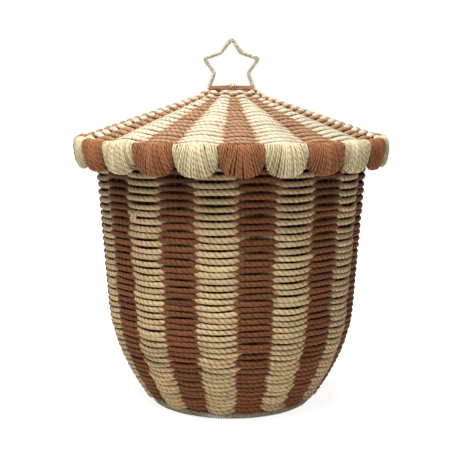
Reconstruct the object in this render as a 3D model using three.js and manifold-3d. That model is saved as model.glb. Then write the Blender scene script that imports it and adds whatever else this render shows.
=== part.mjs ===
// A round striped basket with a lift-off lid: paper cord woven and wound over welded wire.
// Millimetres, +Z up, the front towards -Y, the origin on the ground under the middle of the floor.
import * as THREE from 'three';
import { mergeVertices } from 'three/addons/utils/BufferGeometryUtils.js';
import Module from 'manifold-3d';

const wasm = await Module();
wasm.setup();

// Basket wall, measured to the middle of its wires
const STAKE_COUNT = 22;
const STRIPE_TURN = THREE.MathUtils.degToRad(-6);
const BASE_RADIUS = 102;
const BEND_HEIGHT = 72.5;
const SHOULDER_RADIUS = 153.5;
const SHOULDER_HEIGHT = 126;
const RIM_RADIUS = 168.5;
const RIM_HEIGHT = 334;
const WALL_THICKNESS = 15;
const BASE_BINDING_RADIUS = 4.5;
const RIM_BINDING_RADIUS = 5;
const FLOOR_THICKNESS = 7;

// Lid, a shallow cone measured to the middle of its wires
const SPOKE_COUNT = 24;
const SECTOR_TURN = THREE.MathUtils.degToRad(3.4);
const LID_OVERHANG = 23.5;
const LID_RISE = 58;
const LID_THICKNESS = 13;
const LID_EDGE_ROW = 9;
const CROWN_RADIUS = 28.5;
const CROWN_BINDING_RADIUS = 3;
const COIL_CORD_RADIUS = 2.6;
const COIL_CORD_GAP = 0.7;
const COIL_EYE_RADIUS = 3.9;

// Scallops along the lid's edge, each an odd number of loops so that its spoke passes between two
const SCALLOP_DEPTH = 27.5;
const SCALLOP_SQUARENESS = 0.7;
const SCALLOP_PUFF = 4.6;
const SCALLOP_WIRE_RADIUS = 1.25;
const WINDING_LOOPS = 7;
const WINDING_THICKNESS = 3;
const WINDING_GAP = 1.2;
const WINDING_REACH = THREE.MathUtils.degToRad(66);
const WINDING_FRONT_SHARE = 0.4;
const WINDING_BACK_SHARE = 0.6;
const SPOKE_WAY_MARGIN = 1.5;

// Star handle on the crown
const STAR_CENTRE_HEIGHT = 28.6;
const STAR_TIP_RADIUS = 36.4;
const STAR_DENT_RADIUS = 22.4;
const STAR_WIRE_RADIUS = 1.5;
const STAR_BINDING_RADIUS = 2.6;
const STAR_BEND_REACH = 3;
const STAR_TIE_RADIUS = 4.6;
const STAR_TIE_INSET = 0.5;
const STAR_END_GAP = 4;
const STAR_BOTTOM_RISE = 1;
const STAR_KNOT_RADIUS = 5.2;
const STAR_KNOT_LIFT = 1;

// The star's corners, numbered to the right from the top: tips are even and dents are odd
const STAR_CORNER_COUNT = 10;
const RIGHT_FOOT_INDEX = 4;
const BOTTOM_DENT_INDEX = 5;
const LEFT_FOOT_INDEX = 6;

// Wire, clearance and fineness
const STAKE_RADIUS = 1.5;
const HOOP_WIRE_RADIUS = 2;
const CLEARANCE = 0.3;
const WIRE_SIDES = 4;
const CORD_SIDES = 5;
const BINDING_SIDES = 8;
const RIM_BINDING_STEPS = 6;
const BORE_STEPS = 3;
const BEND_STEPS = 3;
const CORNER_STEPS = 2;
const SCALLOP_WIRE_STEPS = 4;
const COIL_STEPS_PER_LOOP = 10;
const FACETS_PER_STRIPE = 2;
const TIE_SIDES = 8;
const TIE_RINGS = 5;
const MERGE_TOLERANCE = 1e-4;

const CREAM = { color: 0xe0cfa0, roughness: 0.85, metalness: 0 };
const TERRACOTTA = { color: 0xa5683f, roughness: 0.85, metalness: 0 };
const FINE_CREAM = { color: 0xe9dfbd, roughness: 0.8, metalness: 0 };
const WIRE = { color: 0x6d6a64, roughness: 0.45, metalness: 0.9 };

// The point at a radius, an angle to the right of the front, and a height
function polar(radius, angle, height) {
  return new THREE.Vector3(radius * Math.sin(angle), -radius * Math.cos(angle), height);
}

// The angle of one copy in an even pattern round the axis
function patternAngle(first, index, count) {
  return first + (2 * Math.PI * index) / count;
}

function pointBetween(from, to, distance) {
  return to.clone().sub(from).setLength(distance).add(from);
}

function solid(geometry) {
  geometry.deleteAttribute('normal');
  geometry.deleteAttribute('uv');
  const merged = mergeVertices(geometry, MERGE_TOLERANCE);
  const vertProperties = new Float32Array(merged.attributes.position.array);
  const triVerts = new Uint32Array(merged.index.array);
  return new wasm.Manifold(new wasm.Mesh({ numProp: 3, vertProperties, triVerts }));
}

function join(solids) {
  return solids.reduce((whole, piece) => whole.add(piece));
}

function cut(whole, solids) {
  return solids.reduce((rest, piece) => rest.subtract(piece), whole);
}

function surfaceOf(manifold) {
  const { vertProperties, triVerts } = manifold.getMesh();
  const geometry = new THREE.BufferGeometry();
  geometry.setAttribute('position', new THREE.BufferAttribute(vertProperties, 3));
  geometry.setIndex(new THREE.BufferAttribute(triVerts, 1));
  geometry.computeVertexNormals();
  return geometry;
}

// The direction of a path of knots at one of them, halfway between arriving and leaving
function knotTangent(knots, index) {
  const here = knots[index];
  const tangent = new THREE.Vector3();
  if (index > 0) {
    tangent.add(here.clone().sub(knots[index - 1]).normalize());
  }
  if (index + 1 < knots.length) {
    tangent.add(knots[index + 1].clone().sub(here).normalize());
  }
  return tangent.normalize();
}

// A path through knots, swept with one mitred ring at each knot
class KnotPath extends THREE.Curve {
  constructor(knots) {
    super();
    this.knots = knots;
  }

  getPoint(t, target = new THREE.Vector3()) {
    const last = this.knots.length - 1;
    const before = Math.min(Math.floor(t * last), last - 1);
    return target.lerpVectors(this.knots[before], this.knots[before + 1], t * last - before);
  }

  getPointAt(t, target) {
    return this.getPoint(t, target);
  }

  getTangentAt(t, target = new THREE.Vector3()) {
    return target.copy(knotTangent(this.knots, Math.round(t * (this.knots.length - 1))));
  }
}

// The corners of a regular section
function sectionCorners(radius, sides) {
  const corners = [];
  for (let side = 0; side < sides; side += 1) {
    const turn = (2 * Math.PI * side) / sides;
    corners.push(new THREE.Vector2(radius * Math.cos(turn), radius * Math.sin(turn)));
  }
  return corners;
}

function wire(knots, radius, sides = WIRE_SIDES) {
  const section = new THREE.Shape(sectionCorners(radius, sides));
  const extrudePath = new KnotPath(knots);
  return solid(new THREE.ExtrudeGeometry(section, { steps: knots.length - 1, extrudePath }));
}

// A closed outline in (radius, height), counter-clockwise, turned once round the axis
function revolve(outline, segments, start) {
  const closed = [...outline, outline[0].clone()];
  return solid(new THREE.LatheGeometry(closed, segments, start, 2 * Math.PI).rotateX(Math.PI / 2));
}

// A point at a distance and direction from the middle of a hoop's wire, in (radius, height)
function aroundWire(middle, distance, turn) {
  return new THREE.Vector2(middle.x + distance * Math.cos(turn), middle.y + distance * Math.sin(turn));
}

// A round hoop whose section has a flat side underneath
function hoop(middle, tube, sides, segments, start) {
  const outline = [];
  for (let side = 0; side < sides; side += 1) {
    outline.push(aroundWire(middle, tube, (2 * Math.PI * (side + 0.5)) / sides - Math.PI / 2));
  }
  return revolve(outline, segments, start);
}

// The cord bound round a welded hoop: a tube with a bore for the hoop's wire
// and a slit towards the neighbour, where the other wires leave the hoop
function hoopBinding(middle, tube, hoopTube, neighbour, segments, start) {
  const slit = Math.atan2(neighbour.y - middle.y, neighbour.x - middle.x);
  const slitHalf = STAKE_RADIUS + CLEARANCE;
  const bore = Math.max(hoopTube, STAKE_RADIUS) + 2 * CLEARANCE;
  const arc = (radius, steps) => {
    const edge = Math.asin(slitHalf / radius);
    const points = [];
    for (let step = 0; step <= steps; step += 1) {
      const turn = THREE.MathUtils.lerp(slit + edge, slit + 2 * Math.PI - edge, step / steps);
      points.push(aroundWire(middle, radius, turn));
    }
    return points;
  };
  return revolve([...arc(tube, RIM_BINDING_STEPS), ...arc(bore, BORE_STEPS).reverse()], segments, start);
}

// An upright prism over one sector of an even pattern, from one distance to another along its
// middle line, with its two sides moved outwards by a margin
function sectorPrism(angle, count, from, to, margin, height) {
  const half = Math.PI / count;
  const middle = polar(1, angle, 0);
  const across = new THREE.Vector3(-middle.y, middle.x, 0);
  const corner = (distance, side) => {
    const reach = side * (distance * Math.tan(half) + margin / Math.cos(half));
    const place = middle.clone().multiplyScalar(distance).addScaledVector(across, reach);
    return new THREE.Vector2(place.x, place.y);
  };
  const outline = new THREE.Shape([corner(from, -1), corner(to, -1), corner(to, 1), corner(from, 1)]);
  return solid(new THREE.ExtrudeGeometry(outline, { depth: height, bevelEnabled: false }));
}

// A line of (radius, height) points moved sideways, to its right for a positive distance
function offsetLine(line, distance) {
  const knots = line.map((point) => new THREE.Vector3(point.x, point.y, 0));
  return knots.map((knot, index) => {
    const tangent = knotTangent(knots, index);
    return new THREE.Vector2(knot.x + distance * tangent.y, knot.y - distance * tangent.x);
  });
}

// The closed band of a given thickness about a line
function bandOutline(line, thickness) {
  return [...offsetLine(line, thickness / 2), ...offsetLine(line, -thickness / 2).reverse()];
}

// A tube through rings of corner points, closed at both ends
function sweep(rings) {
  const sides = rings[0].length;
  const faces = [];
  for (let ring = 0; ring + 1 < rings.length; ring += 1) {
    for (let side = 0; side < sides; side += 1) {
      const here = ring * sides + side;
      const beside = ring * sides + ((side + 1) % sides);
      faces.push(here, beside, beside + sides, here, beside + sides, here + sides);
    }
  }
  const last = (rings.length - 1) * sides;
  for (let side = 1; side + 1 < sides; side += 1) {
    faces.push(0, side + 1, side, last, last + side, last + side + 1);
  }
  const geometry = new THREE.BufferGeometry();
  const positions = rings.flat().flatMap((corner) => corner.toArray());
  geometry.setAttribute('position', new THREE.Float32BufferAttribute(positions, 3));
  geometry.setIndex(faces);
  geometry.computeVertexNormals();
  return geometry;
}

// The least distance between points on a tube's edges that lie at least a few rings apart
function leastGap(rings, ringsApart) {
  const samples = 5;
  const points = [];
  for (let ring = 0; ring + 1 < rings.length; ring += 1) {
    rings[ring].forEach((corner, side) => {
      for (let sample = 0; sample < samples; sample += 1) {
        points.push({ ring, place: corner.clone().lerp(rings[ring + 1][side], sample / samples) });
      }
    });
  }
  let least = Infinity;
  for (const first of points) {
    for (const second of points) {
      if (second.ring - first.ring >= ringsApart) {
        least = Math.min(least, first.place.distanceTo(second.place));
      }
    }
  }
  return least;
}

const basket = new THREE.Group();
basket.name = 'striped_basket';
const lid = new THREE.Group();
lid.name = 'lid';
basket.add(lid);

function addPart(parent, name, geometry, finish) {
  const mesh = new THREE.Mesh(geometry, new THREE.MeshStandardMaterial(finish));
  mesh.name = name;
  parent.add(mesh);
}

// Names such as wall_stripe_cream_01 for pieces that alternate in colour
function pairName(stem, index) {
  return `${stem}_${String(Math.floor(index / 2) + 1).padStart(2, '0')}`;
}

// Basket wall: the line of a stake, in (radius, height), from the base hoop to the rim hoop
const baseHeight = BASE_BINDING_RADIUS * Math.cos(Math.PI / BINDING_SIDES);
const wallLean = (RIM_RADIUS - SHOULDER_RADIUS) / (RIM_HEIGHT - SHOULDER_HEIGHT);
const baseEnd = new THREE.Vector2(BASE_RADIUS, baseHeight);
const bendPull = new THREE.Vector2(SHOULDER_RADIUS - (SHOULDER_HEIGHT - BEND_HEIGHT) * wallLean, BEND_HEIGHT);
const shoulder = new THREE.Vector2(SHOULDER_RADIUS, SHOULDER_HEIGHT);
const rimEnd = new THREE.Vector2(RIM_RADIUS, RIM_HEIGHT);
const bend = new THREE.QuadraticBezierCurve(baseEnd, bendPull, shoulder).getPoints(BEND_STEPS);
const wallFoot = pointBetween(baseEnd, bend[1], BASE_BINDING_RADIUS + CLEARANCE);
const wallTop = pointBetween(rimEnd, shoulder, RIM_BINDING_RADIUS + CLEARANCE);
const wallFacets = STAKE_COUNT * FACETS_PER_STRIPE;

function stake(index, from, radius) {
  const angle = patternAngle(STRIPE_TURN, index, STAKE_COUNT);
  return wire([from, ...bend.slice(1), rimEnd].map((point) => polar(point.x, angle, point.y)), radius);
}

// The stakes, welded to the rim hoop, stand on the base hoop
function buildBasketFrame() {
  const frame = [hoop(rimEnd, HOOP_WIRE_RADIUS, WIRE_SIDES, wallFacets, STRIPE_TURN)];
  for (let index = 0; index < STAKE_COUNT; index += 1) {
    frame.push(stake(index, wallFoot, STAKE_RADIUS));
  }
  addPart(basket, 'basket_frame', surfaceOf(join(frame)), WIRE);
}

function buildBindings() {
  const base = hoop(baseEnd, BASE_BINDING_RADIUS, BINDING_SIDES, wallFacets, STRIPE_TURN);
  addPart(basket, 'base_hoop', surfaceOf(base), FINE_CREAM);
  const rim = hoopBinding(rimEnd, RIM_BINDING_RADIUS, HOOP_WIRE_RADIUS, shoulder, wallFacets, STRIPE_TURN);
  addPart(basket, 'rim_binding', surfaceOf(rim), FINE_CREAM);
}

function buildFloor() {
  const radius = BASE_RADIUS - BASE_BINDING_RADIUS - CLEARANCE;
  const half = FLOOR_THICKNESS / 2;
  const outline = [[0, -half], [radius, -half], [radius, half], [0, half]];
  const corners = outline.map(([across, up]) => new THREE.Vector2(across, baseHeight + up));
  addPart(basket, 'floor_weave', surfaceOf(revolve(corners, wallFacets, STRIPE_TURN)), CREAM);
}

// Each stripe is the cord's passes over one stake, from the base hoop to the rim binding
function buildWall() {
  const line = [wallFoot, ...bend.slice(1), wallTop];
  const shell = revolve(bandOutline(line, WALL_THICKNESS), wallFacets, STRIPE_TURN);
  const margin = -CLEARANCE / 2;
  for (let index = 0; index < STAKE_COUNT; index += 1) {
    const angle = patternAngle(STRIPE_TURN, index, STAKE_COUNT);
    const prism = sectorPrism(angle, STAKE_COUNT, BASE_RADIUS / 2, 2 * RIM_RADIUS, margin, RIM_HEIGHT);
    const stripe = shell.intersect(prism).subtract(stake(index, baseEnd, STAKE_RADIUS + CLEARANCE));
    const isCream = index % 2 === 0;
    const name = pairName(isCream ? 'wall_stripe_cream' : 'wall_stripe_terracotta', index);
    addPart(basket, name, surfaceOf(stripe), isCream ? CREAM : TERRACOTTA);
  }
}

// Lid: its cone line falls to the lid hoop and rests on the rim binding, and the crown hoop lies on
// the upper ends of the spokes
const lidRadius = RIM_RADIUS + LID_OVERHANG;
const lidSlope = Math.atan2(LID_RISE, lidRadius - CROWN_RADIUS);
const seatOffset = RIM_BINDING_RADIUS + CLEARANCE + LID_THICKNESS / 2;
const seatRadius = lidRadius - RIM_RADIUS / Math.cos(Math.PI / SPOKE_COUNT);
const lidHeight = RIM_HEIGHT + seatOffset / Math.cos(lidSlope) - seatRadius * Math.tan(lidSlope);
const coneTop = new THREE.Vector2(CROWN_RADIUS, lidHeight + LID_RISE);
const crownCover = CROWN_BINDING_RADIUS + CLEARANCE;
const crownLift = (crownCover + STAKE_RADIUS) / Math.cos(lidSlope);
const crownHeight = coneTop.y + crownLift;
const crownEnd = new THREE.Vector2(CROWN_RADIUS, crownHeight);
const lidEnd = new THREE.Vector2(lidRadius, lidHeight);
const lidFacets = SPOKE_COUNT * FACETS_PER_STRIPE;

function sectorAngle(index) {
  return patternAngle(SECTOR_TURN, index, SPOKE_COUNT);
}

function spoke(index, radius) {
  return wire([coneTop, lidEnd].map((end) => polar(end.x, sectorAngle(index), end.y)), radius);
}

// Scallops: a U-shaped wire under the lid hoop, with cord wound over both
const scallopPitch = (2 * Math.PI * lidRadius) / SPOKE_COUNT;
const scallopHalfWidth = scallopPitch / 2 - SCALLOP_WIRE_RADIUS - WINDING_THICKNESS - 2 * CLEARANCE;
const hoopCover = HOOP_WIRE_RADIUS + CLEARANCE;
const wireCover = SCALLOP_WIRE_RADIUS + CLEARANCE;
const spokeWay = 2 * (STAKE_RADIUS + CLEARANCE) + SPOKE_WAY_MARGIN;
const topPitch = (2 * scallopHalfWidth - spokeWay) / WINDING_LOOPS;

function signedPower(value, exponent) {
  return Math.sign(value) * Math.abs(value) ** exponent;
}

// The U in (across, height), at an angle from straight down, and the direction outwards from it there
function scallopEdge(turn) {
  return new THREE.Vector2(
    scallopHalfWidth * signedPower(Math.sin(turn), SCALLOP_SQUARENESS),
    -SCALLOP_DEPTH * signedPower(Math.cos(turn), SCALLOP_SQUARENESS),
  );
}

function scallopNormal(turn) {
  return new THREE.Vector2(
    signedPower(Math.sin(turn), 2 - SCALLOP_SQUARENESS) / scallopHalfWidth,
    -signedPower(Math.cos(turn), 2 - SCALLOP_SQUARENESS) / SCALLOP_DEPTH,
  ).normalize();
}

function scallopPoint(angle, across, outwards, height) {
  return polar(lidRadius + outwards, angle + across / lidRadius, lidHeight + height);
}

function scallopWire(angle) {
  const knots = [];
  for (let step = 0; step <= SCALLOP_WIRE_STEPS; step += 1) {
    const edge = scallopEdge(Math.PI * (step / SCALLOP_WIRE_STEPS - 0.5));
    knots.push(scallopPoint(angle, edge.x, 0, edge.y));
  }
  return wire(knots, SCALLOP_WIRE_RADIUS);
}

// Where the winding crosses the lid hoop, with a way left for the spoke in the middle
function topAcross(loop) {
  const fromMiddle = loop - WINDING_LOOPS / 2;
  return topPitch * fromMiddle + (spokeWay / 2) * THREE.MathUtils.clamp(2 * fromMiddle, -1, 1);
}

// Where the winding crosses the U, fanned out along it: the turn, the place and the way outwards
function bottomCrossing(loop) {
  const turn = WINDING_REACH * ((2 * loop) / WINDING_LOOPS - 1);
  const normal = scallopNormal(turn);
  return { place: scallopEdge(turn).addScaledVector(normal, wireCover), normal };
}

// One ring of the winding: a triangle, flat on the wires, with its ridge outwards
function windingRing(angle, place, depth, along, width, ridge) {
  const side = along.clone().setLength(width / 2);
  const peak = ridge.clone().multiplyScalar(WINDING_THICKNESS);
  return [
    scallopPoint(angle, place.x + side.x, depth, place.y + side.y),
    scallopPoint(angle, place.x + peak.x, depth + peak.z, place.y + peak.y),
    scallopPoint(angle, place.x - side.x, depth, place.y - side.y),
  ];
}

// One unbroken winding: over the lid hoop, down the puffed front, round the U and up the back
function windingRings(angle) {
  const level = new THREE.Vector2(1, 0);
  const topWidth = topPitch - WINDING_GAP;
  const rings = [];
  for (let loop = 0; loop < WINDING_LOOPS; loop += 1) {
    const top = new THREE.Vector2(topAcross(loop), hoopCover);
    const nextTop = new THREE.Vector2(topAcross(loop + 1), hoopCover);
    const front = bottomCrossing(loop + WINDING_FRONT_SHARE);
    const back = bottomCrossing(loop + WINDING_BACK_SHARE);
    const span = bottomCrossing(loop + 1).place.distanceTo(bottomCrossing(loop).place);
    const bottomWidth = span - WINDING_GAP;
    const along = new THREE.Vector2(-front.normal.y, front.normal.x);
    const middle = top.clone().add(front.place).multiplyScalar(0.5);
    const middleAlong = level.clone().add(along);
    const middleWidth = (topWidth + bottomWidth) / 2;
    rings.push(
      windingRing(angle, top, hoopCover, level, topWidth, new THREE.Vector3(0, 1, 1)),
      windingRing(angle, middle, SCALLOP_PUFF, middleAlong, middleWidth, new THREE.Vector3(0, 0, 1)),
      windingRing(angle, front.place, wireCover, along, bottomWidth, new THREE.Vector3(...front.normal, 1)),
      windingRing(angle, back.place, -wireCover, along, bottomWidth, new THREE.Vector3(...back.normal, -1)),
      windingRing(angle, nextTop, -hoopCover, level, topWidth, new THREE.Vector3(0, 1, -1)),
    );
  }
  return rings;
}

function buildScallops() {
  for (let index = 0; index < SPOKE_COUNT; index += 1) {
    const isCream = index % 2 === 1;
    const name = pairName(isCream ? 'scallop_cream' : 'scallop_terracotta', index);
    addPart(lid, name, sweep(windingRings(sectorAngle(index))), isCream ? FINE_CREAM : TERRACOTTA);
  }
  const ringsApart = 3;
  const gap = leastGap(windingRings(SECTOR_TURN), ringsApart);
  console.log(`scallop winding: least gap to itself ${gap.toFixed(2)} mm`);
}

// The spokes and scallop wires, welded to the lid hoop, carry the crown hoop
function buildLidFrame() {
  const frame = [hoop(lidEnd, HOOP_WIRE_RADIUS, WIRE_SIDES, lidFacets, SECTOR_TURN)];
  for (let index = 0; index < SPOKE_COUNT; index += 1) {
    frame.push(spoke(index, STAKE_RADIUS));
    frame.push(scallopWire(sectorAngle(index)));
  }
  addPart(lid, 'lid_frame', surfaceOf(join(frame)), WIRE);
}

// A woven cone between two distances from its top, measured down the slope
function coneBand(from, to) {
  const line = [pointBetween(coneTop, lidEnd, to), pointBetween(coneTop, lidEnd, from)];
  return revolve(bandOutline(line, LID_THICKNESS), SPOKE_COUNT, SECTOR_TURN);
}

// Two combs whose teeth take turns: the terracotta one starts at the crown, the cream one ends at the edge
function buildLidWeave() {
  const tilt = (LID_THICKNESS / 2) * Math.sin(lidSlope);
  const edgeCover = (hoopCover + WINDING_THICKNESS + CLEARANCE + tilt) / Math.cos(lidSlope);
  const edge = coneTop.distanceTo(lidEnd) - edgeCover;
  const start = crownCover - crownLift * Math.sin(lidSlope);
  const creamStart = start + LID_EDGE_ROW + CLEARANCE;
  const terracottaEnd = edge - LID_EDGE_ROW - CLEARANCE;
  const margin = CLEARANCE / 2;
  const height = 2 * crownHeight;
  const facetDepth = Math.cos(Math.PI / SPOKE_COUNT) ** 2;
  const slotStart = (CROWN_RADIUS + (creamStart - CLEARANCE) * Math.cos(lidSlope) - tilt) * facetDepth;
  const slotEnd = CROWN_RADIUS + (terracottaEnd + CLEARANCE) * Math.cos(lidSlope) + tilt;
  const creamCuts = [];
  const terracottaCuts = [];
  for (let index = 0; index < SPOKE_COUNT; index += 1) {
    const angle = sectorAngle(index);
    if (index % 2 === 0) {
      creamCuts.push(sectorPrism(angle, SPOKE_COUNT, 0, slotEnd, margin, height));
    } else {
      terracottaCuts.push(sectorPrism(angle, SPOKE_COUNT, slotStart, 2 * lidRadius, margin, height));
    }
    const room = spoke(index, STAKE_RADIUS + CLEARANCE);
    creamCuts.push(room);
    terracottaCuts.push(room);
  }
  addPart(lid, 'lid_weave_cream', surfaceOf(cut(coneBand(creamStart, edge), creamCuts)), CREAM);
  const terracotta = cut(coneBand(start, terracottaEnd), terracottaCuts);
  addPart(lid, 'lid_weave_terracotta', surfaceOf(terracotta), TERRACOTTA);
}

// Star handle: tips and dents in turn, with its two lower tips spread to stand on the crown hoop
const starFootHeight = crownHeight + 2 * STAR_WIRE_RADIUS + CLEARANCE;
const starBottom = new THREE.Vector3(0, 0, starFootHeight + STAR_BOTTOM_RISE);

function starCorner(index) {
  if (index === RIGHT_FOOT_INDEX || index === LEFT_FOOT_INDEX) {
    return new THREE.Vector3(Math.sign(BOTTOM_DENT_INDEX - index) * CROWN_RADIUS, 0, starFootHeight);
  }
  const turn = (2 * Math.PI * index) / STAR_CORNER_COUNT;
  const radius = index % 2 === 0 ? STAR_TIP_RADIUS : STAR_DENT_RADIUS;
  const height = crownHeight + STAR_CENTRE_HEIGHT + radius * Math.cos(turn);
  return new THREE.Vector3(radius * Math.sin(turn), 0, height);
}

// Straight runs with each inner corner rounded into a short arc of three knots
function roundedPath(corners) {
  const knots = [corners[0]];
  for (let index = 1; index + 1 < corners.length; index += 1) {
    const arriving = pointBetween(corners[index], corners[index - 1], STAR_BEND_REACH);
    const leaving = pointBetween(corners[index], corners[index + 1], STAR_BEND_REACH);
    knots.push(...new THREE.QuadraticBezierCurve3(arriving, corners[index], leaving).getPoints(CORNER_STEPS));
  }
  knots.push(corners[corners.length - 1]);
  return knots;
}

// The bent wire runs from the right foot over the top to the left foot and back along the bottom
function starRuns() {
  const foot = starCorner(RIGHT_FOOT_INDEX);
  const over = [];
  for (let step = 1; step < STAR_CORNER_COUNT - 2; step += 1) {
    over.push(starCorner((RIGHT_FOOT_INDEX - step + STAR_CORNER_COUNT) % STAR_CORNER_COUNT));
  }
  const first = pointBetween(foot, over[0], STAR_END_GAP);
  const last = pointBetween(foot, starBottom, STAR_END_GAP);
  const farFoot = starCorner(LEFT_FOOT_INDEX);
  return { over: [first, ...over, farFoot], under: [farFoot, starBottom, last] };
}

// Balls of cord that tie the star's feet to the crown hoop
function starTies(extra) {
  return [-1, 1].map((side) => {
    const ball = new THREE.SphereGeometry(STAR_TIE_RADIUS + extra, TIE_SIDES, TIE_RINGS);
    return solid(ball.translate(side * (CROWN_RADIUS - STAR_TIE_INSET), 0, starFootHeight));
  });
}

function buildStarAndCrown() {
  const { over, under } = starRuns();
  const knots = roundedPath([...over, ...under.slice(1)]);
  addPart(lid, 'star_wire', surfaceOf(wire(knots, STAR_WIRE_RADIUS, CORD_SIDES)), WIRE);
  const wireRoom = wire(knots, STAR_WIRE_RADIUS + CLEARANCE, CORD_SIDES);

  const sleeves = [
    { name: 'star_binding', run: over, finish: FINE_CREAM },
    { name: 'star_foot_binding', run: under, finish: TERRACOTTA },
  ];
  for (const { name, run, finish } of sleeves) {
    const sleeve = wire(roundedPath(run), STAR_BINDING_RADIUS, CORD_SIDES);
    addPart(lid, name, surfaceOf(cut(sleeve, [wireRoom, ...starTies(CLEARANCE)])), finish);
  }

  const knotRoom = wire(roundedPath(under), STAR_BINDING_RADIUS + CLEARANCE, CORD_SIDES);
  const knot = new THREE.SphereGeometry(STAR_KNOT_RADIUS, TIE_SIDES, TIE_RINGS).rotateX(Math.PI / 2);
  knot.translate(0, 0, starBottom.z + STAR_KNOT_LIFT);
  addPart(lid, 'star_knot', surfaceOf(solid(knot).subtract(knotRoom)), FINE_CREAM);

  const ring = hoop(crownEnd, CROWN_BINDING_RADIUS, BINDING_SIDES, SPOKE_COUNT, SECTOR_TURN);
  const crown = join([ring, ...starTies(0)]).subtract(wireRoom);
  addPart(lid, 'crown_hoop', surfaceOf(crown), TERRACOTTA);
}

// A flat coil of cord inside the crown hoop, under the star's lower run
function buildCrownCoil() {
  const pitch = 2 * COIL_CORD_RADIUS + COIL_CORD_GAP;
  const outer = CROWN_RADIUS - crownCover - COIL_CORD_RADIUS;
  const loops = Math.floor((outer - COIL_EYE_RADIUS) / pitch);
  const height = starFootHeight - STAR_BINDING_RADIUS - CLEARANCE - COIL_CORD_RADIUS;
  const rings = [];
  for (let step = 0; step <= loops * COIL_STEPS_PER_LOOP; step += 1) {
    const turns = step / COIL_STEPS_PER_LOOP;
    const radius = outer - pitch * (loops - turns);
    const corners = sectionCorners(COIL_CORD_RADIUS, CORD_SIDES);
    rings.push(corners.map((corner) => polar(radius - corner.x, 2 * Math.PI * turns, height + corner.y)));
  }
  console.log(`crown coil: least gap to itself ${leastGap(rings, COIL_STEPS_PER_LOOP / 2).toFixed(2)} mm`);
  addPart(lid, 'crown_coil', sweep(rings), TERRACOTTA);
}

buildBasketFrame();
buildBindings();
buildFloor();
buildWall();
buildLidFrame();
buildLidWeave();
buildScallops();
buildStarAndCrown();
buildCrownCoil();

export default basket;
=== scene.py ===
"""Dresses the striped basket: paper cord woven, wound and laid over its welded wires.

Shapes are worked out in millimetres, +Z up and the front towards -Y, and go into the meshes in metres.
Angles are measured to the right of the front.
"""

from __future__ import annotations

import logging
import math
from dataclasses import dataclass, field
from enum import Enum

import bpy
import numpy as np
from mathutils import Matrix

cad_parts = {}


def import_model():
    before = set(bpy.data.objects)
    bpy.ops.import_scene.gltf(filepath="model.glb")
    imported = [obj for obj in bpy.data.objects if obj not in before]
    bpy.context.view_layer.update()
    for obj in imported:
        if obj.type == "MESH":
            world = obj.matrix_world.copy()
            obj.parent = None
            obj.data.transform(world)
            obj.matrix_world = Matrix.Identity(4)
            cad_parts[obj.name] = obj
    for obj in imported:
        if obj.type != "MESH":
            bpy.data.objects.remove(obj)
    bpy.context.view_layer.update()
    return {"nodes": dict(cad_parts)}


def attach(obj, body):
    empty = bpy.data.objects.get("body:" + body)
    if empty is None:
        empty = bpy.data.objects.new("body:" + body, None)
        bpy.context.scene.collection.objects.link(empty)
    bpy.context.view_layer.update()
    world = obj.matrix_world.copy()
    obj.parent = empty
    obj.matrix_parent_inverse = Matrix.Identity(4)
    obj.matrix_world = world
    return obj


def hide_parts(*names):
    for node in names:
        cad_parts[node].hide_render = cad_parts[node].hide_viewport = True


LOG = logging.getLogger("striped_basket")
MM = 0.001
TAU = 2.0 * math.pi
RIGHT = (1.0, 0.0, 0.0)
FRONT = (0.0, -1.0, 0.0)
BACK = (0.0, 1.0, 0.0)
UP = (0.0, 0.0, 1.0)
WHITE = (1.0, 1.0, 1.0, 1.0)
CORD_MAP = "cord"
GROOVE = "groove"
TONE = "tone"

# The display curve: straight up to its knee, then a power.
CURVE_KNEE = 0.04045
CURVE_SLOPE = 12.92
CURVE_OFFSET = 0.055
CURVE_POWER = 2.4

Array = np.ndarray
Colour = tuple[float, float, float, float]
Material = bpy.types.Material
Node = bpy.types.Node
Socket = bpy.types.NodeSocket


class Body(Enum):
    """The two bodies that pieces ride on."""

    BASKET = "basket"
    LID = "lid"


class Stripe(Enum):
    """The two colours that take turns round the wall, the lid and the scallops."""

    CREAM = "cream"
    TERRACOTTA = "terracotta"

    @property
    def sign(self) -> float:
        """One for cream and minus one for terracotta."""
        return 1.0 if self is Stripe.CREAM else -1.0

    @property
    def lag(self) -> float:
        """How many turns the cord starts after the cream one."""
        return 0.0 if self is Stripe.CREAM else 0.5


def linear(red: int, green: int, blue: int) -> Colour:
    """Turns a colour as a display gives it into linear light.

    Args:
        red: the red value, from 0 to 255.
        green: the green value.
        blue: the blue value.

    Returns:
        The colour with full alpha.
    """
    display = np.array([red, green, blue]) / 255.0
    curve = ((display + CURVE_OFFSET) / (1.0 + CURVE_OFFSET)) ** CURVE_POWER
    return (*np.where(display <= CURVE_KNEE, display / CURVE_SLOPE, curve).tolist(), 1.0)


@dataclass(frozen=True)
class CordFinish:
    """The look of one paper cord."""

    name: str
    slot: str
    colour: Colour
    # the colour of the painted shade in the twist's grooves
    groove_shade_colour: Colour
    roughness: float = 0.78
    fibre: float = 0.22
    bump: float = 0.35
    bump_height: float = 0.3 * MM
    specular: float = 0.25


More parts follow.
